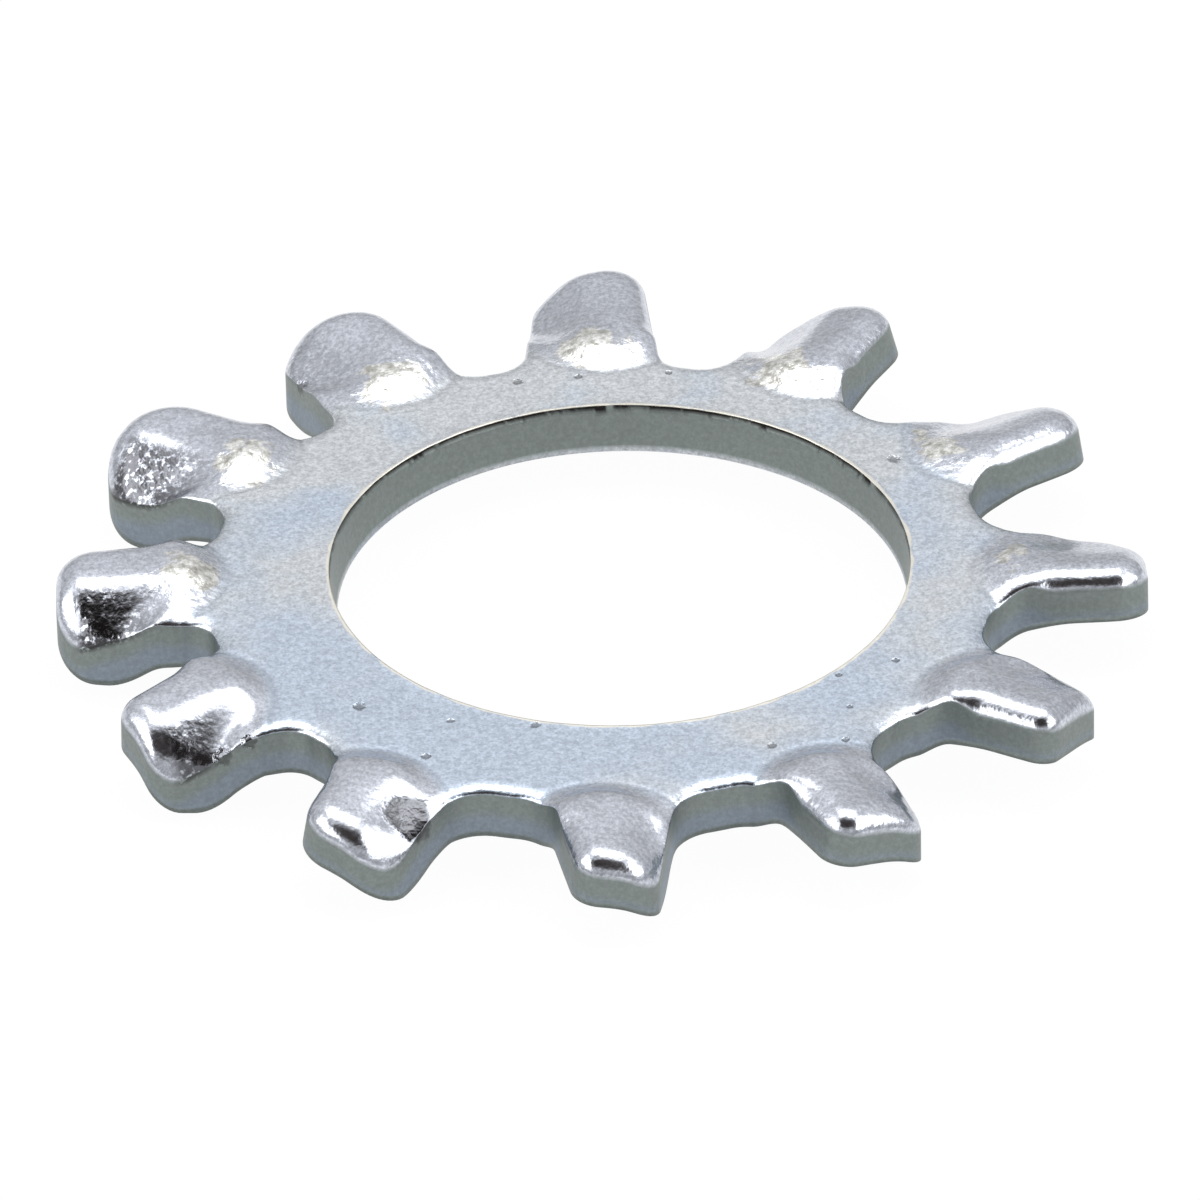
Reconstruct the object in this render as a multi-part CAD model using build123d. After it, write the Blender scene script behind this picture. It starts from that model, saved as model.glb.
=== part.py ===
from build123d import *
from math import acos, asin, atan, cos, hypot, isclose, pi, radians, sin, sqrt
import os

# External-tooth lock washer, stamped from spring steel strip, with every tooth twisted about its
# own radial axis. Lengths are in millimetres and angles in degrees.
# Origin: on the bore's axis at mid thickness. +Z is up, away from the bench.
# Tooth 1 points along +Y, and the teeth are counted clockwise, seen from above.

# Ring
bore_diameter = 8.4              # clearance bore for an 8 mm bolt
sheet_thickness = 0.8
root_diameter = 11.4             # circle through the bottoms of the gullets
bore_off_centre = (0.29, 0.25)   # where the bore was pierced, from the centre of the toothed blank

# Teeth, as blanked
tooth_count = 12
tip_diameter = 15.72             # circle through the tooth tips, while they are still flat
root_width = 1.90                # across a tooth's straight sides at the root circle
tip_width = 1.60                 # the same at the tip circle
gullet_corner_radius = 0.72      # or as much less as leaves
least_root_arc = 1.8             # these degrees of the root circle between two corners
least_gullet_corner = 0.1        # a tooth is narrower than root_width where it has to be, for this
tip_corner_radius = 0.55         # or as much less as leaves it this share of the tip's width
widest_tip_corner = 0.45
longest_tip_corner = 0.9         # and this share of the length past the gullet corner
first_tooth_angle = 90           # direction of tooth 1, from +X

# Twist: a tooth turns about its radial axis, its clockwise edge up. Its anticlockwise half, the
# low side, is pressed down further, with its cut side left upright.
twist_angle = 13
low_side_slope = 0.35
low_side_start = 0.2             # from the tooth's axis
low_side_blend = 0.25            # the slope eases in over about this far either side
upright_run = 0.6                # the section goes over from turned to upright in this width,
upright_start = -0.2             # from here
twist_run = 1.1                  # the twist is complete this far out from half way round the
                                 # gullet corner
tip_lift = 0.1                   # how far a twisted tooth stands above the ring's middle

# Edges
roll_width = 0.36                # the blanking die rolls the outline's top edge, this far in
roll_depth = 0.12                # and this far down,
high_side_roll_depth = 0.30      # but this far on the high side of a tooth
low_side_roll_depth = 0.06       # and this far on its low side
bore_roll_radius = 0.12          # the piercing punch rolls the bottom edge of the bore

# This washer's own unevenness, one value a tooth, from tooth 1 on. A reach is given as a share
# of the nominal tooth's length, and the others are added to the nominal size.
turn_scatter = (0, 1.3, 1.3, 0.3, 0.2, 0.8, 0.5, -0.8, -2, -0.4, -1.5, 0.2)
reach_scatter = (0.19, 0.09, 0.12, 0.02, -0.07, -0.14, -0.18, -0.16, -0.12, 0, 0.14, 0.12)
root_width_scatter = (0.1, -0.1, 0, -0.1, -0.2, -0.4, -0.1, 0, 0.4, 0.1, 0.1, 0.2)
tip_width_scatter = (0, 0.4, 0.1, -0.1, 0, 0, -0.5, -0.2, -0.3, 0, 0.3, 0.1)
tip_corner_scatter = (0.1, 0.1, 0.15, 0, -0.25, -0.15, -0.15, 0.05, -0.1, 0.05, 0.3, 0.3)
twist_scatter = (-6, 4, 4, 3, 4, -2, -7, 4, -3, -1, -7, 5)
slope_scatter = (0.15, 0.12, -0.1, -0.2, -0.15, 0, 0.5, 0, 0.15, 0, 0.05, -0.3)
lift_scatter = (0, 0, -0.1, -0.05, 0.05, 0, 0, 0, -0.05, 0.05, -0.05, 0)

root_radius = root_diameter / 2


def each_tooth(nominal, scatter):
    """A size's value on every tooth. The scatter starts again where there are more teeth."""
    return [nominal + scatter[k % len(scatter)] for k in range(tooth_count)]


tooth_length = tip_diameter / 2 - root_radius
turns = each_tooth(0, turn_scatter)
reaches = [root_radius + tooth_length * share for share in each_tooth(1, reach_scatter)]
tip_widths = each_tooth(tip_width, tip_width_scatter)
tip_corners = each_tooth(tip_corner_radius, tip_corner_scatter)
twists = each_tooth(twist_angle, twist_scatter)
slopes = each_tooth(low_side_slope, slope_scatter)
lifts = each_tooth(tip_lift, lift_scatter)
pitch = 360 / tooth_count
blank_centre = Pos(-bore_off_centre[0], -bore_off_centre[1], 0)
corner_sweep = radians(80)       # a tip corner stops this far round, at the flat tip
flare_steps = 8                  # loft steps round the outer half of a gullet corner,
side_steps = 8                   # along the straight side
corner_steps = 8                 # and round the tip corner
roll_facets = 3                  # flat facets across the rolled edge
roll_angles = [pi / 2 * i / roll_facets for i in range(roll_facets + 1)]
insets = [roll_width * (1 - cos(angle)) for angle in roll_angles]


def tooth_angle(k):
    """Direction of tooth k's axis, from +X."""
    return first_tooth_angle - k * pitch + turns[k]


def to_next_tooth(k):
    """Angle from tooth k's axis clockwise to the next one's, in radians."""
    return radians(pitch + turns[k] - turns[(k + 1) % tooth_count])


def half_gap(k):
    """Half of the angle between tooth k and its nearer neighbour, less the least root arc."""
    return (min(to_next_tooth(k), to_next_tooth(k - 1)) - radians(least_root_arc)) / 2


def root_half_width(k):
    """Half width of tooth k at the root circle, as far as its neighbours leave room for it."""
    room = root_radius * sin(half_gap(k)) - least_gullet_corner
    return min(root_width + root_width_scatter[k % len(root_width_scatter)], 2 * room) / 2


def taper(k):
    """How fast the half width of tooth k grows along its axis."""
    return (tip_widths[k] / 2 - root_half_width(k)) / (reaches[k] - root_radius)


def side_half_width(x, k):
    """Half width between the straight sides of tooth k, at x along its axis."""
    return root_half_width(k) + taper(k) * (x - root_radius)


def gullet_corner(k):
    """Radius, direction angle and centre of the arc from the root circle to a tooth's side.

    The arc touches both. Its centre is a radius outside the root circle, and a radius beside the
    side. The radius is no larger than half of the narrower gullet leaves room for.
    """
    lean = atan(taper(k))
    foot = (root_half_width(k) - taper(k) * root_radius) * cos(lean)
    room = sin(half_gap(k) - lean)
    radius = min(gullet_corner_radius, (room * root_radius - foot) / (1 - room))
    angle = asin((foot + radius) / (root_radius + radius)) + lean
    return radius, angle, ((root_radius + radius) * cos(angle), (root_radius + radius) * sin(angle))


def corner_ends(k):
    """Directions, from a gullet corner's centre, of its ends on the root circle and the side."""
    return gullet_corner(k)[1] + pi, 3 * pi / 2 + atan(taper(k))


def tip_corner(k):
    """Radius and centre of the arc from a tooth's straight side to its flat tip."""
    lean = atan(taper(k))
    gullet_radius, _, (gullet_x, _) = gullet_corner(k)
    straight_start = gullet_x + gullet_radius * sin(lean)
    longest = longest_tip_corner * (reaches[k] - straight_start)
    radius = min(tip_corners[k], widest_tip_corner * tip_widths[k], longest)
    centre_x = reaches[k] - radius * sin(corner_sweep)
    side_end_x = centre_x - radius * sin(lean)
    return radius, (centre_x, side_half_width(side_end_x, k) - radius * cos(lean))


def stations(k):
    """The places along a tooth's axis where its loft has a section, from its foot to its tip."""
    lean = atan(taper(k))
    radius, _, (centre_x, _) = gullet_corner(k)
    root_end, side_end = corner_ends(k)
    foot = (root_end + side_end) / 2
    flare = [foot + (side_end - foot) * i / flare_steps for i in range(flare_steps + 1)]
    places = [centre_x + radius * cos(direction) for direction in flare]

    radius, (centre_x, _) = tip_corner(k)
    corner = [pi / 2 + lean - (corner_sweep + lean) * i / corner_steps for i in range(corner_steps + 1)]
    side_start = places[-1]
    side_end = centre_x + radius * cos(corner[0])
    for i in range(1, side_steps):
        places.append(side_start + (side_end - side_start) * i / side_steps)
    return places + [centre_x + radius * cos(direction) for direction in corner]


def half_width(x, k, inset=0):
    """Half width of a tooth at x, along a line this far inside its outline.

    The line runs round the gullet corner and along the side. In the tip corner it closes in with
    the outline, in proportion, so that it lasts to the flat tip.
    """
    radius, _, (centre_x, centre_y) = gullet_corner(k)
    if x < centre_x + (radius + inset) * cos(corner_ends(k)[1]):
        return centre_y - sqrt((radius + inset) ** 2 - (x - centre_x) ** 2)
    lean = atan(taper(k))
    radius, (centre_x, centre_y) = tip_corner(k)
    if x < centre_x - radius * sin(lean):
        return side_half_width(x, k) - inset / cos(lean)
    return centre_y + (1 - inset / radius) * sqrt(radius ** 2 - (x - centre_x) ** 2)


def rolled_height(x, y, k, inset, depth):
    """Height of an edge rolled this deep at (x, y), a point on the line with this inset.

    It is a quarter of an ellipse across the edge. In the tip corner, the point is nearer to the
    outline than its inset.
    """
    radius, (centre_x, centre_y) = tip_corner(k)
    if x > centre_x:
        inset = min(inset, radius - hypot(x - centre_x, y - centre_y))
    share = 1 - min(max(inset / roll_width, 0), 1)
    return sheet_thickness / 2 - depth * (1 - sqrt(1 - share ** 2))


def smooth_step(share):
    share = min(max(share, 0), 1)
    return share * share * (3 - 2 * share)


def tooth_section(x, k, share):
    """A tooth's upright section at x along its axis, with this share of the twist done.

    It is as wide as the outline, and its top corners are rolled. Its high half turns. Its low half
    keeps upright, and shears down along the slope.
    """
    turn = radians(twists[k] * share)

    def bent(y, z):
        upright = smooth_step((y - upright_start) / upright_run)
        past = y - low_side_start
        drop = share * slopes[k] * (past + hypot(past, low_side_blend)) / 2
        down = y * sin(turn) + drop - lifts[k] * share
        across = y * cos(turn) + z * sin(turn) * (1 - upright)
        return across, z * (cos(turn) * (1 - upright) + upright) - down

    edge, inner = half_width(x, k), half_width(x, k, roll_width)
    low_depth = roll_depth + share * (low_side_roll_depth - roll_depth)
    high_depth = roll_depth + share * (high_side_roll_depth - roll_depth)
    low_side, high_side = [], []
    for inset in insets:
        y = half_width(x, k, inset)
        low_side.append((y, rolled_height(x, y, k, inset, low_depth)))
        high_side.append((-y, rolled_height(x, y, k, inset, high_depth)))
    middle = [(inner * part, sheet_thickness / 2) for part in (0.5, 0, -0.5)]
    bottom = [(y, -sheet_thickness / 2) for y in (-edge, -inner, -inner / 2, 0, inner / 2, inner, edge)]
    points = low_side + middle + high_side[::-1] + bottom
    plane = Plane(origin=(x, 0, 0), x_dir=(0, 1, 0), z_dir=(1, 0, 0))
    return plane * make_face(Polyline(*[bent(y, z) for y, z in points], close=True))


def tooth(k):
    """Tooth k along +X, from where its twist starts to its flat tip.

    It is a loft of sections that turn about the X axis, and rise a little, as the twist runs in.
    """
    places = stations(k)
    shares = [smooth_step((x - places[0]) / twist_run) for x in places]
    return loft([tooth_section(x, k, share) for x, share in zip(places, shares)])


def ring_outline(inset):
    """Edges of the ring, this far inside its outline, out to where each tooth's twist starts."""
    edges = []
    for k in range(tooth_count):
        turn = Rot(0, 0, tooth_angle(k))
        radius, land, (centre_x, centre_y) = gullet_corner(k)
        foot = stations(k)[0]
        start = land + pi
        end = 2 * pi - acos((foot - centre_x) / (radius + inset))
        corner = []
        for direction in (start, (start + end) / 2, end):
            x = centre_x + (radius + inset) * cos(direction)
            corner.append((x, centre_y + (radius + inset) * sin(direction)))
        mirrored = [(x, -y) for x, y in corner]
        next_land = to_next_tooth(k) - gullet_corner((k + 1) % tooth_count)[1]
        root = []
        for angle in (land, (land + next_land) / 2, next_land):
            root.append(((root_radius - inset) * cos(angle), -(root_radius - inset) * sin(angle)))
        edges.append(turn * ThreePointArc(*corner))
        edges.append(turn * Line(corner[-1], mirrored[-1]))
        edges.append(turn * ThreePointArc(*reversed(mirrored)))
        edges.append(turn * ThreePointArc(*root))
    return make_face(edges)


def ring():
    """The flat ring: layers from the underside up, with the rolled top edge in flat facets."""
    layers = [Pos(0, 0, -sheet_thickness / 2) * ring_outline(0)]
    for inset in insets:
        height = rolled_height(0, 0, 0, inset, roll_depth)
        layers.append(Pos(0, 0, height) * ring_outline(inset))
    return loft(layers, ruled=True)


teeth = []
for k in range(tooth_count):
    teeth.append(Rot(0, 0, tooth_angle(k)) * tooth(k))
washer = blank_centre * ring().fuse(*teeth)

# The bore was pierced from below, so its bottom edge is rolled.
washer = washer - Cylinder(bore_diameter / 2, 2 * sheet_thickness)
circles = washer.edges().filter_by(GeomType.CIRCLE)
bore_ends = circles.filter_by(lambda edge: isclose(edge.radius, bore_diameter / 2))
washer = fillet(bore_ends.sort_by(Axis.Z)[0], bore_roll_radius)

os.makedirs("parts", exist_ok=True)
export_step(washer, "parts/lock_washer.step")
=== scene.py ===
import math

import bpy
import numpy as np
from mathutils import Matrix, Vector


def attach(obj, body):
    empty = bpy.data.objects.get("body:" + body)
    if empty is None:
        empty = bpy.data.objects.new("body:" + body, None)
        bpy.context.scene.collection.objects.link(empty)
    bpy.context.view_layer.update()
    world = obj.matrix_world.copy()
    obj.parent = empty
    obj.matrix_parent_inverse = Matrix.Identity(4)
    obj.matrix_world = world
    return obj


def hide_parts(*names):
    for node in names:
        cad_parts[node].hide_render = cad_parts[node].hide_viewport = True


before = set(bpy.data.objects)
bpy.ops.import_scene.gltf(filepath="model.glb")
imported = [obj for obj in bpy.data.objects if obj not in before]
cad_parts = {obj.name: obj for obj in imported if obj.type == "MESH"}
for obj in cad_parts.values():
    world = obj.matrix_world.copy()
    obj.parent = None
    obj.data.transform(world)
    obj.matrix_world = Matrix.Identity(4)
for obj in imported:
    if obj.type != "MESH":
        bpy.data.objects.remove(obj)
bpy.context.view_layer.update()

# ---- Toothed blank ----
# Spring steel strip, 0.8 mm thick. A blanking die cuts the ring with its twelve flat teeth, and
# rolls the top edge of the outline over. The bore is pierced a little off the blank's centre.
MM = 0.001
THICKNESS = 0.80
BORE_RADIUS = 4.2
BLANK_CENTRE = np.array([-0.29, -0.25])
TEETH = 12
ROOT_RADIUS = 5.7
GULLET_CORNER = 0.72
LEAST_ROOT_ARC = math.radians(1.8)
# One value a tooth, clockwise from the tooth that points along +Y
TOOTH_TURN = np.array([-0.1, 1.3, 1.3, 0.3, 0.2, 0.8, 0.5, -0.8, -2.0, -0.4, -1.5, 0.2])    # degrees
TOOTH_REACH = np.array([8.25, 8.05, 8.10, 7.90, 7.70, 7.55, 7.45, 7.50, 7.60, 7.85, 8.15, 8.10])
ROOT_HALF = np.array([1.00, 0.90, 0.95, 0.90, 0.85, 0.75, 0.90, 0.95, 1.15, 1.00, 1.00, 1.05])
TIP_HALF = np.array([0.80, 1.00, 0.85, 0.75, 0.80, 0.80, 0.55, 0.70, 0.65, 0.80, 0.95, 0.85])
TIP_CORNER = np.array([0.65, 0.65, 0.70, 0.55, 0.30, 0.40, 0.40, 0.60, 0.45, 0.60, 0.85, 0.85])
AROUND = 1152                      # columns of the surface grid, all round the outline
TOOTH_ANGLE = np.radians(90 - 30 * np.arange(TEETH) + TOOTH_TURN)


def half_tooth(k, half_pitch):
    """Half of tooth k's outline on its own axis: gullet corner, straight side, tip corner.

    The gullet corner is an arc that touches the root circle and the side, as wide as half of the
    gullet allows. The tip corner is an arc that touches the side and the flat tip. The rows run
    from the root circle to the axis.
    """
    reach, corner = TOOTH_REACH[k], TIP_CORNER[k]
    slope = (TIP_HALF[k] - ROOT_HALF[k]) / (reach - ROOT_RADIUS)
    lean = math.atan(slope)
    foot = (ROOT_HALF[k] - slope * ROOT_RADIUS) * math.cos(lean)
    room = math.sin(half_pitch - LEAST_ROOT_ARC / 2 - lean)
    gullet = min(GULLET_CORNER, (room * ROOT_RADIUS - foot) / (1 - room))
    polar = math.asin((foot + gullet) / (ROOT_RADIUS + gullet)) + lean
    cx, cy = (ROOT_RADIUS + gullet) * math.cos(polar), (ROOT_RADIUS + gullet) * math.sin(polar)
    turn = np.linspace(polar + math.pi, 1.5 * math.pi + lean, 60)
    gullet_arc = np.stack([cx + gullet * np.cos(turn), cy + gullet * np.sin(turn)], 1)
    tx = reach - corner
    ty = ROOT_HALF[k] + slope * (tx - corner * math.sin(lean) - ROOT_RADIUS) - corner * math.cos(lean)
    turn = np.linspace(math.pi / 2 + lean, 0, 60)
    tip_arc = np.stack([tx + corner * np.cos(turn), ty + corner * np.sin(turn)], 1)
    return np.concatenate([gullet_arc, tip_arc, [[reach, 0]]])


def blank_outline():
    """The whole outline as (x, y) rows, anticlockwise, evenly spaced along its length.

    The teeth's halves follow each other. Between them a chord is pushed out to the root circle.
    """
    chain = []
    for k in range(TEETH - 1, -1, -1):
        to_next = (TOOTH_ANGLE[k] - TOOTH_ANGLE[(k + 1) % TEETH]) % (2 * math.pi) / 2
        to_last = (TOOTH_ANGLE[k - 1] - TOOTH_ANGLE[k]) % (2 * math.pi) / 2
        both = np.concatenate([half_tooth(k, to_next) * [1, -1], half_tooth(k, to_last)[-2::-1]])
        c, s = math.cos(TOOTH_ANGLE[k]), math.sin(TOOTH_ANGLE[k])
        chain.append(both @ np.array([[c, s], [-s, c]]))
    chain = np.concatenate(chain + [chain[0][:1]])
    length = np.concatenate([[0], np.cumsum(np.hypot(*np.diff(chain, axis=0).T))])
    even = np.linspace(0, length[-1], AROUND, endpoint=False)
    points = np.stack([np.interp(even, length, chain[:, i]) for i in (0, 1)], 1)
    radius = np.hypot(*points.T)
    return points * np.maximum(1, ROOT_RADIUS / radius)[:, None]


# The surface grid has a column for each outline point and a row for each step round the section:
# across the top, down the cut edge, back across the underside and up the bore.
MIDDLE_RADIUS = 5.25               # inside this circle the columns spread evenly over the bore
CREASE_SHARE = 0.2                 # the rows are closer over this inner share of a tooth
TOP_RING_ROWS, TOP_CREASE_ROWS, TOP_TOOTH_ROWS, WALL_ROWS = 14, 9, 25, 6
UNDER_TOOTH_ROWS, UNDER_RING_ROWS, BORE_ROWS = 9, 6, 13
TOP_DRAW, UNDER_DRAW, BORE_DRAW = 1.6, 1.4, 1.8  # powers that draw the rows closer to the edges


def plan_grid(ring_share, tooth_share, outline):
    """Flat (x, y) rows from the bore's circle to the outline.

    Ring rows lie on straight lines from the bore to the middle circle, and tooth rows on radii
    from there to the outline, by the given shares of each stretch.
    """
    radius, angle = np.hypot(*outline.T), np.unwrap(np.arctan2(outline[:, 1], outline[:, 0]))
    ray = np.stack([np.cos(angle), np.sin(angle)], 1)
    even = angle[0] + 2 * math.pi * np.arange(AROUND) / AROUND
    bore = BORE_RADIUS * np.stack([np.cos(even), np.sin(even)], 1) - BLANK_CENTRE
    v = ring_share[:, None, None]
    ring = bore * (1 - v) + MIDDLE_RADIUS * ray * v
    reach = MIDDLE_RADIUS + (radius - MIDDLE_RADIUS) * tooth_share[:, None]
    return np.concatenate([ring, ray * reach[..., None]])


def nearest_on(curve, points):
    """Distance from each (x, y) to a closed curve, and where along the curve, in its own points.

    Each stretch of the curve between two of its points is straight. Only those within a twelfth of
    the way round from the column's own can be the nearest.
    """
    window = AROUND // TEETH
    gap = np.full(points.shape[:2], np.inf)
    place = np.zeros(points.shape[:2])
    for shift in range(-window, window + 1):
        start, end = np.roll(curve, shift, axis=0), np.roll(curve, shift - 1, axis=0)
        step = end - start
        share = np.clip(((points - start) * step).sum(-1) / (step ** 2).sum(-1), 0, 1)
        away = np.hypot(*np.moveaxis(points - start - share[..., None] * step, -1, 0))
        here = np.arange(AROUND) - shift + share
        place = np.where(away < gap, here, place)
        gap = np.minimum(gap, away)
    return gap, place


def ease(share):
    """Smooth step from 0 to 1."""
    share = np.clip(share, 0, 1)
    return share * share * (3 - 2 * share)


# ---- Cut edges ----
# The die rolls the top edge of the outline over: a little in the gullets, and deeply along the
# side of a tooth that is twisted up and round its tip. Below the roll the punch has sheared it.
GULLET_ROLL = (0.30, 0.12)         # width and depth
TOOTH_ROLL = (0.43, 0.35)
LOW_SIDE_ROLL = (0.15, 0.04)       # where the twisting tool has pressed the edge flat again
ROLL_START, ROLL_RUN = 6.1, 0.5    # along a tooth
TIP_ROLL_START, TIP_ROLL_RUN = 1.0, 0.85  # short of its tip
HIGH_SIDE_BLEND = 0.3
EDGE_BREAK = 0.03                  # the outline's bottom edge
BORE_ROLL = 0.05
LIP_HEIGHT, LIP_WIDTH = 0.012, 0.07
TEAR_TOP, TEAR_BOTTOM = 0.015, 0.11  # below the bore's top edge, where the punch broke through
TEAR_DEPTH = 0.04
TEAR_TOP_FADE, TEAR_BOTTOM_FADE = 0.015, 0.02
TEAR_STOPS, TEAR_STOPS_FADE = 0.05, 0.15  # it stops where a value from 0 to 1 is below this
BORE_TAPER = 0.08                  # the bore is narrower at the bottom, where the punch came in,
BORE_LEAN = 0.03                   # and leans over to one side
TAPER_REACH = 0.4                  # both fade out at about this distance from the bore
BORE_TOP = 0.985                   # the bore's last row is this share of the way to its top edge


def tooth_axes(flat):
    """Each point's tooth number, and its distances along and across that tooth's axis."""
    polar = np.arctan2(flat[..., 1], flat[..., 0])
    tooth = np.round((math.pi / 2 - polar) / (2 * math.pi / TEETH)).astype(int) % TEETH
    axis = TOOTH_ANGLE[tooth]
    along = flat[..., 0] * np.cos(axis) + flat[..., 1] * np.sin(axis)
    across = -flat[..., 0] * np.sin(axis) + flat[..., 1] * np.cos(axis)
    return tooth, along, across


def ragged(seed, columns, least=0, most=1):
    """Random values between these two round the bore, smoothed over this many columns."""
    values = np.random.default_rng(seed).random(AROUND)
    window = np.exp(-np.linspace(-2, 2, 2 * columns + 1) ** 2)
    values = sum(w * np.roll(values, i) for i, w in enumerate(window)) / window.sum()
    return least + (most - least) * (values - values.min()) / np.ptp(values)


def quarter_round(gap, width, depth):
    """How far an edge of this width and depth has dropped, a gap inside it: a quarter ellipse."""
    return depth * (1 - np.sqrt(1 - np.clip(1 - gap / width, 0, 1) ** 2))


outline = blank_outline()
tooth, along, across = tooth_axes(outline)
to_side = ease((along - ROLL_START) / ROLL_RUN)
to_tip = ease((along - TOOTH_REACH[tooth] + TIP_ROLL_START) / TIP_ROLL_RUN)
high_side = ease(-across / HIGH_SIDE_BLEND)
deep = np.maximum(high_side * to_side, to_tip)
pressed_flat = (1 - high_side) * to_side * (1 - to_tip)
roll_size = np.outer(GULLET_ROLL, 1 - deep) + np.outer(TOOTH_ROLL, deep)
roll_size = roll_size * (1 - pressed_flat) + np.outer(LOW_SIDE_ROLL, pressed_flat)
roll_width, roll_depth = roll_size

ring_share = np.linspace(0, 1, TOP_RING_ROWS, endpoint=False) ** TOP_DRAW
crease_share = np.linspace(0, CREASE_SHARE, TOP_CREASE_ROWS, endpoint=False)
tooth_share = 1 - np.linspace(1, 0, TOP_TOOTH_ROWS) ** TOP_DRAW
tooth_share = np.concatenate([crease_share, CREASE_SHARE + (1 - CREASE_SHARE) * tooth_share])
top = plan_grid(ring_share, tooth_share, outline)
under_tooth = np.linspace(1, 0, UNDER_TOOTH_ROWS)
under_ring = np.linspace(1, 0, UNDER_RING_ROWS + 1)[1:] ** UNDER_DRAW
under = plan_grid(under_ring[::-1], under_tooth[::-1], outline)[::-1]

half = THICKNESS / 2
top_gap, nearest = nearest_on(outline, top)
columns = np.arange(AROUND)
roll_width = np.interp(nearest, columns, roll_width, period=AROUND)
roll_depth = np.interp(nearest, columns, roll_depth, period=AROUND)
top_lip = np.hypot(*np.moveaxis(top + BLANK_CENTRE, -1, 0)) - BORE_RADIUS
top_z = half - quarter_round(top_gap, roll_width, roll_depth)
top_z += LIP_HEIGHT * np.exp(-(top_lip / LIP_WIDTH) ** 2) * ragged(3, 9, least=0.3)
bore_gap = np.hypot(*np.moveaxis(under + BLANK_CENTRE, -1, 0)) - BORE_RADIUS
under_z = -half + quarter_round(bore_gap, BORE_ROLL, BORE_ROLL)
down = np.linspace(0, 1, WALL_ROWS + 2)[1:-1][:, None]
wall_z = top_z[-1] * (1 - down) + (-half + EDGE_BREAK) * down
wall = np.repeat(outline[None], WALL_ROWS, axis=0)
up = BORE_TOP * (1 - np.linspace(1, 0, BORE_ROWS + 1)[1:] ** BORE_DRAW)[:, None]
bore_z = (-half + BORE_ROLL) * (1 - up) + top_z[0] * up
below = top_z[0] - bore_z
reaches_down = TEAR_BOTTOM * ragged(5, 12, least=0.45) * ragged(6, 3, least=0.7, most=1.2)
torn_and_painted_shade = ease((below - TEAR_TOP) / TEAR_TOP_FADE)
torn_and_painted_shade *= ease((reaches_down - below) / TEAR_BOTTOM_FADE + 0.5)
torn_and_painted_shade *= ease((ragged(8, 10) - TEAR_STOPS) / TEAR_STOPS_FADE)
away = under[-1:] + BLANK_CENTRE
bore = under[-1:] + away / BORE_RADIUS * (TEAR_DEPTH * torn_and_painted_shade[..., None])

flat = np.concatenate([top, wall, under, bore])
height = np.concatenate([top_z, wall_z, under_z, bore_z])
from_axis = flat + BLANK_CENTRE
bore_distance = np.hypot(*np.moveaxis(from_axis, -1, 0)) - BORE_RADIUS
depth_share = np.clip((half - height) / THICKNESS, 0, 1) * np.exp(-(bore_distance / TAPER_REACH) ** 2)
flat = flat - depth_share[..., None] * (from_axis / BORE_RADIUS * BORE_TAPER - [BORE_LEAN, 0])

# ---- Twisted teeth ----
# A second tool pins the ring and twists each tooth, its clockwise edge up. The metal bends over
# an arched line at the root. The low half of the tooth is pressed down steeply, and its cut side
# stays upright.
TWIST = np.radians([7, 17, 17, 14, 13, 11, 6, 11, 3, 2, 3, 18])
LOW_SIDE_SLOPE = np.array([0.5, 0.42, 0.25, 0.10, 0.12, 0.35, 0.52, 0.5, 0.78, 0.74, 0.72, 0.1])
TOOTH_LIFT = np.array([0.10, 0.10, 0, 0.05, 0.12, 0.10, 0.10, 0.10, 0.10, 0.20, 0.15, 0.10])
CREASE_X, CREASE_Y, CREASE_ARCH = 5.36, -0.2, 0.45
CREASE_DEPTH, CREASE_WIDTH = 0.012, 0.06
TWIST_RUN, TWIST_START = 1.3, 1.5  # the second is a power: a higher one starts the bend later
UPRIGHT_START, UPRIGHT_RUN = -0.2, 0.6  # across a tooth, where its section stops turning
LOW_SIDE_START, LOW_SIDE_BLEND = 0.15, 0.22
LIFT_RUN = 0.6                     # a tooth rises within this stretch of its root,
HUMP, HUMP_START, HUMP_RUN = 0.09, 0.5, 1.3  # and bulges by this in its middle
HUMP_WIDTH = 0.6

tooth, along, across = tooth_axes(flat)
past_crease = along - CREASE_X - CREASE_ARCH * (across - CREASE_Y) ** 2
bent = 1 - (1 - np.clip(past_crease / TWIST_RUN, 0, 1) ** TWIST_START) ** 2
turn = TWIST[tooth] * bent
upright = ease((across - UPRIGHT_START) / UPRIGHT_RUN)
from_bend = across - LOW_SIDE_START
drop = LOW_SIDE_SLOPE[tooth] * bent * (from_bend + np.hypot(from_bend, LOW_SIDE_BLEND)) / 2
y = across * np.cos(turn) + height * np.sin(turn) * (1 - upright)
z = height * (np.cos(turn) * (1 - upright) + upright) - across * np.sin(turn)
hump = HUMP * (1 - ease((past_crease - HUMP_START) / HUMP_RUN)) * np.exp(-(across / HUMP_WIDTH) ** 2)
z += (TOOTH_LIFT[tooth] + hump) * ease(past_crease / LIFT_RUN) - drop
z[:len(top)] -= (CREASE_DEPTH * np.exp(-(past_crease / CREASE_WIDTH) ** 2))[:len(top)]
axis = TOOTH_ANGLE[tooth]
x_world = along * np.cos(axis) - y * np.sin(axis) + BLANK_CENTRE[0]
y_world = along * np.sin(axis) + y * np.cos(axis) + BLANK_CENTRE[1]
points = np.stack([x_world, y_world, z], -1) * MM


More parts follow.
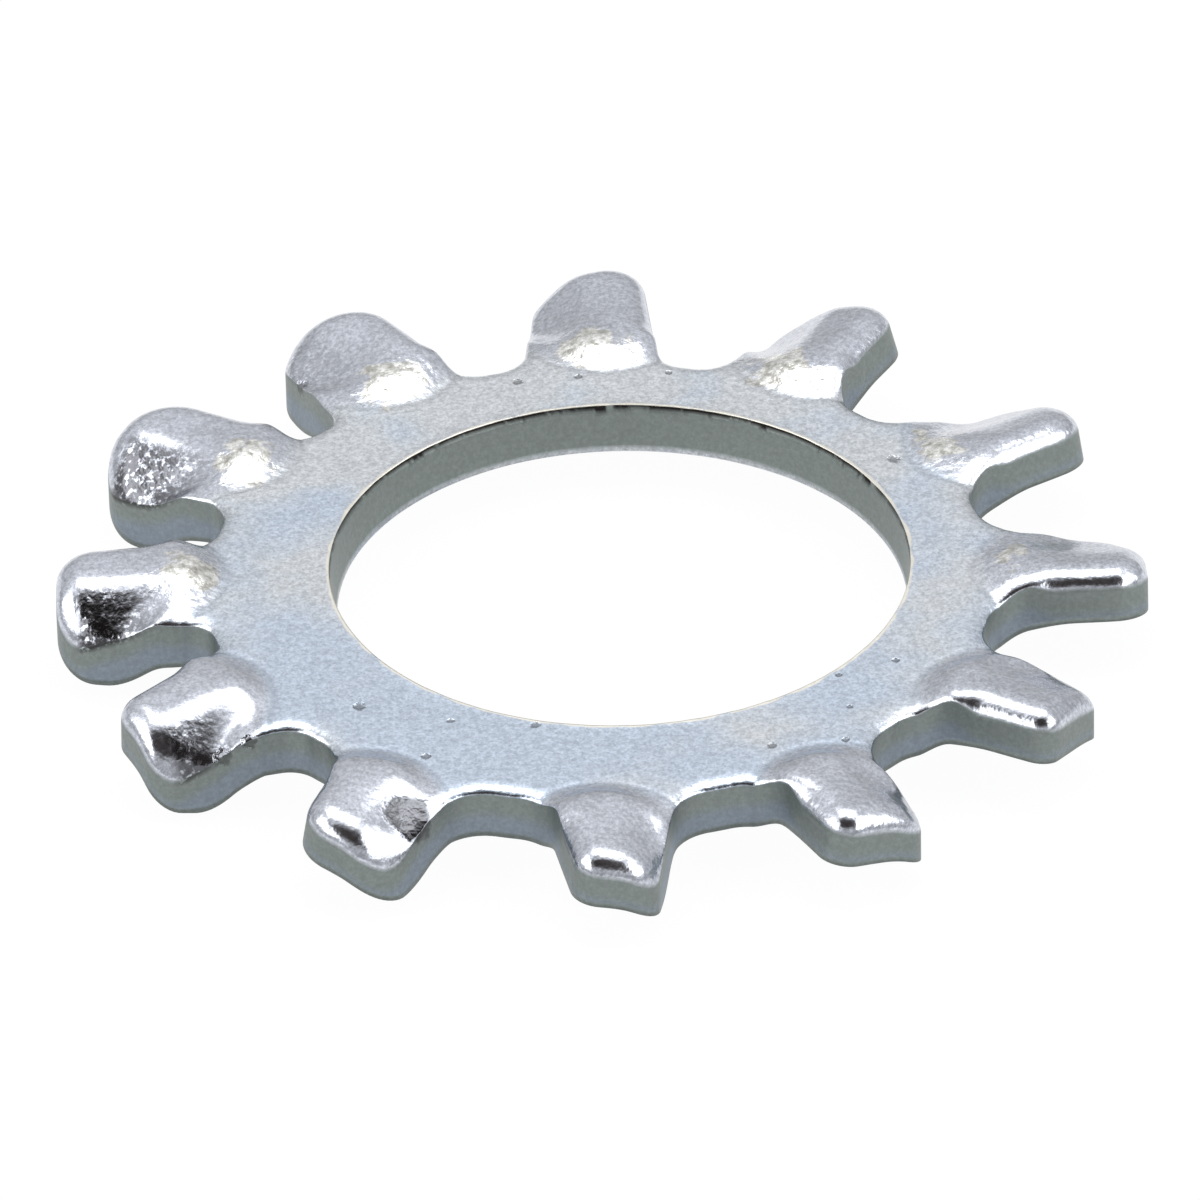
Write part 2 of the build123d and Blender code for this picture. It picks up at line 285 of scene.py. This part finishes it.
def grid_mesh(name, points):
    """A closed surface: quads between neighbouring rows and columns, joined up both ways round."""
    rows, columns = points.shape[:2]
    index = np.arange(rows * columns).reshape(rows, columns)
    right, below = np.roll(index, -1, 1), np.roll(index, -1, 0)
    quads = np.stack([index, below, np.roll(below, -1, 1), right], -1).reshape(-1, 4)
    mesh = bpy.data.meshes.new(name)
    mesh.vertices.add(index.size)
    mesh.vertices.foreach_set("co", points.astype(np.float32).ravel())
    mesh.loops.add(quads.size)
    mesh.loops.foreach_set("vertex_index", quads.ravel().astype(np.int32))
    mesh.polygons.add(len(quads))
    mesh.polygons.foreach_set("loop_start", np.arange(0, quads.size, 4, dtype=np.int32))
    mesh.update(calc_edges=True)
    mesh.validate()
    mesh.shade_smooth()
    piece = bpy.data.objects.new(name, mesh)
    bpy.context.scene.collection.objects.link(piece)
    return piece


def linear(hex_colour):
    """An sRGB hex colour as linear RGBA."""
    channels = [int(hex_colour[i:i + 2], 16) / 255 for i in (1, 3, 5)]
    return tuple(c / 12.92 if c <= 0.04045 else ((c + 0.055) / 1.055) ** 2.4 for c in channels) + (1,)


def node(tree, kind, inputs=(), output=0, **settings):
    """Adds a node and returns one of its outputs.

    Inputs are (socket, value or output) pairs, and settings are the node's own.
    """
    new = tree.nodes.new(kind)
    for key, value in settings.items():
        setattr(new, key, value)
    for socket, value in inputs:
        if isinstance(value, bpy.types.NodeSocket):
            tree.links.new(value, new.inputs[socket])
        else:
            new.inputs[socket].default_value = value
    return new.outputs[output] if new.outputs else None


def new_material(name):
    """A material with an empty node tree."""
    material = bpy.data.materials.new(name)
    material.use_nodes = True
    material.node_tree.nodes.clear()
    return material


def add_values(piece, name, values):
    """Gives the piece's points one value each, under a name that a material can read."""
    attribute = piece.data.attributes.new(name, "FLOAT", "POINT")
    attribute.data.foreach_set("value", values.astype(np.float32).ravel())


washer = grid_mesh("washer", points)

# Values that tell the material where the dies have touched the surface, and where it paints highlights and
# shade, mostly from 0 to 1
LEAST_SHEARED = 0.1                # at the top of a cut edge
BEND_FADE, CREASE_LINE = 0.25, 0.05  # past the crease, and either side of it
PRESS_AND_HIGHLIGHT_ALONG, PRESS_AND_HIGHLIGHT_SIZE = 5.9, (0.60, 0.75)  # where the twisting tool pressed a tooth, and where its painted highlight patch lies
PRESS_AND_HIGHLIGHT_BY_TOOTH = np.array([1, 1, 0.9, 0.7, 0.3, 0, 0, 0.2, 0.2, 0.9, 0.9, 1])
# how much each tooth's low side is scratched and given a painted dark reflection
SCRATCH_AND_REFLECTION_BY_TOOTH = np.array([0, 0, 0, 0, 0, 0, 0, 0.2, 0.8, 1, 0.9, 0.2])
SCRATCH_AND_REFLECTION_ACROSS, SCRATCH_AND_REFLECTION_ACROSS_FADE = 0.05, 0.3
SCRATCH_AND_REFLECTION_ALONG, SCRATCH_AND_REFLECTION_ALONG_FADE = 6.2, 0.9
SCRATCH_AND_REFLECTION_END, SCRATCH_AND_REFLECTION_END_FADE = 0.40, 0.15  # short of the tip
first_wall = TOP_RING_ROWS + TOP_CREASE_ROWS + TOP_TOOTH_ROWS
first_under = first_wall + WALL_ROWS
first_bore = first_under + UNDER_TOOTH_ROWS + UNDER_RING_ROWS
blank = np.zeros(height.shape)
sheared, rolled, bore_wall, painted_tear_shade, rim = (blank.copy() for _ in range(5))
sheared[first_wall:first_under] = LEAST_SHEARED + (top_z[-1] - wall_z) / THICKNESS
rolled[:first_wall] = np.clip(1 - top_gap / roll_width, 0, 1)
bore_wall[first_bore:] = 1
painted_tear_shade[first_bore:] = torn_and_painted_shade
rim[:first_wall] = np.exp(-(top_lip / LIP_WIDTH) ** 2)
rim[-1] = 1
pressed = np.hypot((along - PRESS_AND_HIGHLIGHT_ALONG) / PRESS_AND_HIGHLIGHT_SIZE[0], across / PRESS_AND_HIGHLIGHT_SIZE[1])
pressed = np.exp(-pressed ** 2) * PRESS_AND_HIGHLIGHT_BY_TOOTH[tooth]
pressed[first_wall:] = 0
scratched_and_dark_reflection = ease((across - SCRATCH_AND_REFLECTION_ACROSS) / SCRATCH_AND_REFLECTION_ACROSS_FADE) * SCRATCH_AND_REFLECTION_BY_TOOTH[tooth]
scratched_and_dark_reflection *= ease((along - SCRATCH_AND_REFLECTION_ALONG) / SCRATCH_AND_REFLECTION_ALONG_FADE)
scratched_and_dark_reflection *= 1 - ease((along - TOOTH_REACH[tooth] + SCRATCH_AND_REFLECTION_END) / SCRATCH_AND_REFLECTION_END_FADE)
scratched_and_dark_reflection[first_wall:] = 0
zones = {"sheared": sheared, "rolled": rolled, "bore": bore_wall, "torn_and_painted_shade": painted_tear_shade, "rim": rim,
         "bent": ease(past_crease / BEND_FADE), "crease": np.exp(-(past_crease / CREASE_LINE) ** 2),
         "pressed": pressed, "scratched_and_dark_reflection": scratched_and_dark_reflection}
for name, values in zones.items():
    add_values(washer, name, values)

# ---- Zinc-plated steel ----
# A few microns of bright zinc over the steel. It is satin with a fine speckle where the strip was
# left alone, hammered and painted with highlights where the dies pressed, and duller on the cut edges.
zinc = new_material("bright zinc plating on steel")
t = zinc.node_tree
MAP, MIX, MATH, NOISE = "ShaderNodeMapRange", "ShaderNodeMix", "ShaderNodeMath", "ShaderNodeTexNoise"
TO_MIN, TO_MAX = "To Min", "To Max"
objects = node(t, "ShaderNodeTexCoord", output="Object")
place = node(t, "ShaderNodeVectorMath", [(0, objects), ("Scale", 1 / MM)], operation="SCALE")
zone = {}
for name in zones:
    zone[name] = node(t, "ShaderNodeAttribute", attribute_name=name, output="Fac")

# noises: the size of their features in mm, and their octaves
noise = {}
for name, size, detail in (("speckle", 0.075, 2), ("fine", 0.035, 1), ("dapple", 0.35, 3),
                           ("cloud", 1.7, 2), ("hammer", 0.13, 2)):
    noise[name] = node(t, NOISE, [("Vector", place), ("Scale", 1 / size), ("Detail", detail)])

# the strip's plating, bluer towards the front and greyer towards the back in cloudy patches, and the
# duller plating of the sheared edges
to_far_side = node(t, "ShaderNodeSeparateXYZ", [(0, place)], output="Y")
tint = node(t, MATH, [(0, to_far_side), (1, 0.03), (2, noise["cloud"])], operation="MULTIPLY_ADD")
tint = node(t, MAP, [(0, tint), (1, 0.36), (2, 0.66)], interpolation_type="SMOOTHSTEP")
plate = node(t, MIX, [(0, tint), (6, linear("#C2CDDC")), (7, linear("#CFD3D8"))], 2, data_type="RGBA")
# the twisted teeth get a slightly darker, violet-grey copy of the plating colour: painted shade for their
# tilted faces
colour = node(t, MIX, [(0, zone["bent"]), (6, plate), (7, linear("#C6CAD4"))], 2, data_type="RGBA")
upper = node(t, MAP, [(0, zone["sheared"]), (1, 0.35), (2, 0.65)], interpolation_type="SMOOTHSTEP")
edge = node(t, MIX, [(0, upper), (6, linear("#868E8C")), (7, linear("#88929C"))], 2, data_type="RGBA")
cut = node(t, MAP, [(0, zone["sheared"]), (1, 0.0), (2, 0.004)])
cut = node(t, MATH, [(0, cut), (1, zone["bore"])], operation="MAXIMUM")
steep = node(t, MAP, [(0, zone["rolled"]), (1, 0.97), (2, 0.995)])
cut = node(t, MATH, [(0, cut), (1, steep)], operation="MAXIMUM")
colour = node(t, MIX, [(0, cut), (6, colour), (7, edge)], 2, data_type="RGBA")

# painted highlight patches near the roots, where the twisting dies pressed, with ragged borders
border = node(t, MATH, [(0, noise["dapple"]), (1, 1.3), (2, zone["pressed"])], operation="MULTIPLY_ADD")
painted_highlight_and_gloss = node(t, MAP, [(0, border), (1, 1.22), (2, 1.36)], interpolation_type="SMOOTHSTEP")
mottled = node(t, MAP, [(0, noise["hammer"]), (1, 0.35), (2, 0.6)])
painted_highlight_colour = node(t, MIX, [(0, mottled), (6, linear("#B9B8B2")), (7, linear("#ECECEA"))], 2, data_type="RGBA")
colour = node(t, MIX, [(0, painted_highlight_and_gloss), (6, colour), (7, painted_highlight_colour)], 2, data_type="RGBA")

# speckle over everything, fainter on the cut edges, then a painted highlight on the bore's lip and painted
# shade in its torn line
speck = node(t, MAP, [(0, noise["speckle"]), (1, 0.34), (2, 0.66), (TO_MIN, 0.80), (TO_MAX, 1.12)])
fleck = node(t, MAP, [(0, noise["fine"]), (1, 0.35), (2, 0.65), (TO_MIN, 0.87), (TO_MAX, 1.10)])
speck = node(t, MATH, [(0, speck), (1, fleck)], operation="MULTIPLY")
contrast = node(t, MAP, [(0, cut), (1, 0.0), (2, 1.0), (TO_MIN, 1.0), (TO_MAX, 0.45)])
colour = node(t, MIX, [(0, contrast), (6, colour), (7, speck)], 2, data_type="RGBA", blend_type="MULTIPLY")
painted_lip_highlight = node(t, MATH, [(0, zone["rim"]), (1, noise["dapple"])], operation="MULTIPLY")
painted_lip_highlight = node(t, MAP, [(0, painted_lip_highlight), (1, 0.25), (2, 0.45)], interpolation_type="SMOOTHSTEP")
colour = node(t, MIX, [(0, painted_lip_highlight), (6, colour), (7, linear("#E6E3DA"))], 2, data_type="RGBA")
# painted shade in the bore's torn groove
colour = node(t, MIX, [(0, zone["torn_and_painted_shade"]), (6, colour), (7, linear("#2E2B29"))], 2, data_type="RGBA")

# pits in the plating and dents in the teeth: their places on the washer, and radii, in mm
LEAST_PIT, MOST_PIT = 1.1, 1.9     # a pit's middle, darkened with painted shade, and its border, in its radii
PITS = [(-1.4, 4.9, 0.06), (-0.5, 5.0, 0.05), (0.85, 5.05, 0.05), (4.1, 2.55, 0.08), (-3.8, -3.55, 0.08),
        (-1.3, -4.15, 0.06), (-2.5, -3.95, 0.05), (-2.85, -4.85, 0.06), (2.05, -4.85, 0.06),
        (3.1, -4.7, 0.05), (3.15, -3.85, 0.04), (3.85, -2.7, 0.05), (3.05, -3.05, 0.04),
        (-5.35, -4.15, 0.10), (-5.6, -4.85, 0.12), (-4.65, 5.3, 0.11)]
top_points = points[:first_wall].reshape(-1, 3) / MM
pits = None
for x, y, radius in PITS:
    nearest_point = top_points[np.hypot(top_points[:, 0] - x, top_points[:, 1] - y).argmin()]
    away = node(t, "ShaderNodeVectorMath", [(0, place), (1, nearest_point)], 1, operation="DISTANCE")
    wobble = node(t, MATH, [(0, noise["speckle"]), (1, radius), (2, away)], operation="MULTIPLY_ADD")
    pit = node(t, MAP, [(0, wobble), (1, LEAST_PIT * radius), (2, MOST_PIT * radius), (TO_MIN, 1.0),
                        (TO_MAX, 0.0)], interpolation_type="SMOOTHSTEP")
    pits = pit if pits is None else node(t, MATH, [(0, pits), (1, pit)], operation="MAXIMUM")
# painted shade in the pits, which are too small for the mesh to shade
painted_dark = node(t, MATH, [(0, pits), (1, 0.5)], operation="MULTIPLY")
colour = node(t, MIX, [(0, painted_dark), (6, colour), (7, linear("#3A3836"))], 2, data_type="RGBA")

# one tooth has a ragged crater where the tool slipped, with a painted dark reflection in it
CRATER, CRATER_REACH = (-3.1, -6.15, 0.25), 0.55
CRATER_FADE, CRATER_WANDER = 0.10, 0.5  # the wander is 0 to 0.5 mm, taken off the reach
away = node(t, "ShaderNodeVectorMath", [(0, place), (1, CRATER)], 1, operation="DISTANCE")
away = node(t, MATH, [(0, noise["dapple"]), (1, CRATER_WANDER), (2, away)], operation="MULTIPLY_ADD")
crater = node(t, MAP, [(0, away), (1, CRATER_REACH), (2, CRATER_REACH + CRATER_FADE), (TO_MIN, 1.0),
                       (TO_MAX, 0.0)], interpolation_type="SMOOTHSTEP")
painted_dent_reflection = node(t, MIX, [(0, noise["hammer"]), (6, linear("#1E1B1A")), (7, linear("#6A6B6E"))], 2,
            data_type="RGBA")
dent_reflection_share = node(t, MATH, [(0, crater), (1, 0.85)], operation="MULTIPLY")
colour = node(t, MIX, [(0, dent_reflection_share), (6, colour), (7, painted_dent_reflection)], 2, data_type="RGBA")

# the scratched low sides get a painted dark reflection between bright flecks, and the creases a faint
# painted shade
painted_dark = node(t, MAP, [(0, noise["speckle"]), (1, 0.54), (2, 0.66), (TO_MIN, 0.85), (TO_MAX, 0.0)])
painted_dark = node(t, MATH, [(0, painted_dark), (1, zone["scratched_and_dark_reflection"])], operation="MULTIPLY")
colour = node(t, MIX, [(0, painted_dark), (6, colour), (7, linear("#2B2726"))], 2, data_type="RGBA")
# painted shade along each crease
creased = node(t, MATH, [(0, zone["crease"]), (1, 0.22)], operation="MULTIPLY")
colour = node(t, MIX, [(0, creased), (6, colour), (7, linear("#6F7480"))], 2, data_type="RGBA")

# gloss: satin strip, smooth faces and rolls, matt sheared edges
rough = node(t, MAP, [(0, noise["speckle"]), (1, 0.3), (2, 0.7), (TO_MIN, 0.42), (TO_MAX, 0.32)])
worked = node(t, MATH, [(0, zone["bent"]), (1, zone["rolled"])], operation="MAXIMUM")
rough = node(t, MIX, [(0, worked), (2, rough), (3, 0.20)])
rough = node(t, MIX, [(0, painted_highlight_and_gloss), (2, rough), (3, 0.24)])
rough = node(t, MIX, [(0, cut), (2, rough), (3, 0.50)])

# relief: a fine grain everywhere, hammer marks where the dies and the tool have been, and pits
GRAIN, HAMMERED, PITTED = 0.0022, 0.018, 0.03  # mm
grain = node(t, MATH, [(0, noise["speckle"]), (1, GRAIN)], operation="MULTIPLY")
marks = node(t, MAP, [(0, zone["pressed"]), (1, 0.05), (2, 0.5)])
marks = node(t, MATH, [(0, marks), (1, zone["scratched_and_dark_reflection"])], operation="MAXIMUM")
on_roll = node(t, MATH, [(0, zone["rolled"]), (1, 0.55)], operation="MULTIPLY")
marks = node(t, MATH, [(0, marks), (1, on_roll)], operation="MAXIMUM")
marks = node(t, MATH, [(0, marks), (1, crater)], operation="MAXIMUM")
marks = node(t, MATH, [(0, marks), (1, noise["hammer"])], operation="MULTIPLY")
relief = node(t, MATH, [(0, marks), (1, HAMMERED), (2, grain)], operation="MULTIPLY_ADD")
relief = node(t, MATH, [(0, pits), (1, -PITTED), (2, relief)], operation="MULTIPLY_ADD")
bump = node(t, "ShaderNodeBump", [("Height", relief), ("Distance", MM), ("Strength", 1.0)])
shader = node(t, "ShaderNodeBsdfPrincipled", [
    ("Base Color", colour), ("Metallic", 1.0), ("Roughness", rough), ("Normal", bump)])
node(t, "ShaderNodeOutputMaterial", [("Surface", shader)])
washer.data.materials.append(zinc)
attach(washer, "root")
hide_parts("lock_washer")

# ---- Studio ----
# A sheet of white paper under the washer, a softbox above and behind it, and a room that is pale
# at the back and low down, dark above the viewer, with a white panel on either side.
FLOOR_SIZE, FLOOR_GAP = 0.6, 0.00001
bpy.ops.mesh.primitive_plane_add(size=FLOOR_SIZE, location=(0, 0, points[..., 2].min() - FLOOR_GAP))
floor = bpy.context.object
floor.name = "floor"
paper = new_material("white paper")
t = paper.node_tree
PATH = "ShaderNodeLightPath"
matte = node(t, "ShaderNodeBsdfDiffuse", [("Color", linear("#FAFAFA"))])
glow = node(t, "ShaderNodeEmission", [("Color", (1, 1, 1, 1)), ("Strength", 1.0)])
seen = node(t, MATH, [(0, node(t, PATH, output="Is Camera Ray")), (1, 0.96)], operation="MULTIPLY")
mirrored = node(t, MATH, [(0, node(t, PATH, output="Is Glossy Ray")), (1, 0.8)], operation="MULTIPLY")
shown = node(t, MATH, [(0, seen), (1, mirrored)], operation="MAXIMUM")
mixed = node(t, "ShaderNodeMixShader", [(0, shown), (1, matte), (2, glow)])
node(t, "ShaderNodeOutputMaterial", [("Surface", mixed)])
floor.data.materials.append(paper)

world = bpy.data.worlds.new("studio")
bpy.context.scene.world = world
world.use_nodes = True
t = world.node_tree
t.nodes.clear()
way = node(t, "ShaderNodeTexCoord", output="Generated")
way_x, way_y, way_z = (node(t, "ShaderNodeSeparateXYZ", [(0, way)], output=axis) for axis in "XYZ")
from_back = node(t, MAP, [(0, way_y), (1, -0.30), (2, 0.0)], interpolation_type="SMOOTHSTEP")
from_floor = node(t, MAP, [(0, way_z), (1, 0.50), (2, 0.64), (TO_MIN, 0.8), (TO_MAX, 0.0)],
                  interpolation_type="SMOOTHSTEP")
lit = node(t, MATH, [(0, from_back), (1, from_floor)], operation="MAXIMUM")
pale = node(t, MAP, [(0, way_z), (1, 0.0), (2, 0.9), (TO_MIN, 0.62), (TO_MAX, 1.0)],
            interpolation_type="SMOOTHSTEP")
room = node(t, MIX, [(0, lit), (6, (0.04, 0.03, 0.026, 1)), (7, (1, 1, 1, 1))], 2, data_type="RGBA")
level = node(t, MIX, [(0, lit), (2, 1.0), (3, pale)])

# the side panels are well out to the left and right, in front of the washer and off the floor
PANEL_LEVEL = 3.2
aside = node(t, MATH, [(0, way_x)], operation="ABSOLUTE")
aside = node(t, MAP, [(0, aside), (1, 0.50), (2, 0.60)], interpolation_type="SMOOTHSTEP")
in_front = node(t, MAP, [(0, way_y), (1, 0.30), (2, 0.15)], interpolation_type="SMOOTHSTEP")
side_panels = node(t, MATH, [(0, aside), (1, in_front)], operation="MULTIPLY")
high_up = node(t, MAP, [(0, way_z), (1, 0.25), (2, 0.40)], interpolation_type="SMOOTHSTEP")
side_panels = node(t, MATH, [(0, side_panels), (1, high_up)], operation="MULTIPLY")
room = node(t, MIX, [(0, side_panels), (6, room), (7, (1, 1, 1, 1))], 2, data_type="RGBA")
level = node(t, MIX, [(0, side_panels), (2, level), (3, PANEL_LEVEL)])

# seen directly, the room is plain white
direct = node(t, PATH, output="Is Camera Ray")
room = node(t, MIX, [(0, direct), (6, room), (7, (1, 1, 1, 1))], 2, data_type="RGBA")
level = node(t, MIX, [(0, direct), (2, level), (3, 1.0)])
back = node(t, "ShaderNodeBackground", [("Color", room), ("Strength", level)])
node(t, "ShaderNodeOutputWorld", [("Surface", back)])

softbox = bpy.data.lights.new("softbox", "AREA")
softbox.shape = "RECTANGLE"
softbox.size, softbox.size_y = 0.24, 0.13
softbox.energy = 0.24              # watts
holder = bpy.data.objects.new("softbox", softbox)
holder.location = (0.01, 0.065, 0.25)
holder.rotation_euler = holder.location.to_track_quat("Z", "Y").to_euler()
bpy.context.scene.collection.objects.link(holder)

# ---- Camera ----
# A long lens from the front, looking down on the washer. Lengths are in mm from the blank's
# centre, at the height of TOP_RISE, and angles in radians.
LENS = 436.4
DISTANCE = 210
ELEVATION = math.radians(33.58)
AZIMUTH = math.radians(-0.607)
ROLL = -0.0225
LOOK = np.array([-0.0076, -0.181, 0])
TOP_RISE = 0.05
turn_c, turn_s = math.cos(AZIMUTH), math.sin(AZIMUTH)
turning = np.array([[turn_c, -turn_s, 0], [turn_s, turn_c, 0], [0, 0, 1]])
centre = np.append(BLANK_CENTRE, TOP_RISE)
eye = turning @ np.array([0, -DISTANCE * math.cos(ELEVATION), DISTANCE * math.sin(ELEVATION)]) + centre
aim = turning @ LOOK + centre
forward = (aim - eye) / np.linalg.norm(aim - eye)
right = np.cross(forward, [0, 0, 1])
right /= np.linalg.norm(right)
upward = np.cross(right, forward)
rolled_right = math.cos(ROLL) * right + math.sin(ROLL) * upward
rolled_up = -math.sin(ROLL) * right + math.cos(ROLL) * upward
camera_data = bpy.data.cameras.new("camera")
camera_data.lens = LENS
camera_data.sensor_width = 36
camera_data.clip_start = 0.001
camera = bpy.data.objects.new("camera", camera_data)
bpy.context.scene.collection.objects.link(camera)
camera.matrix_world = Matrix.Translation(Vector(eye * MM)) @ Matrix(
    np.stack([rolled_right, rolled_up, -forward], 1).tolist()).to_4x4()
bpy.context.scene.camera = camera
bpy.context.scene.view_settings.view_transform = "Standard"
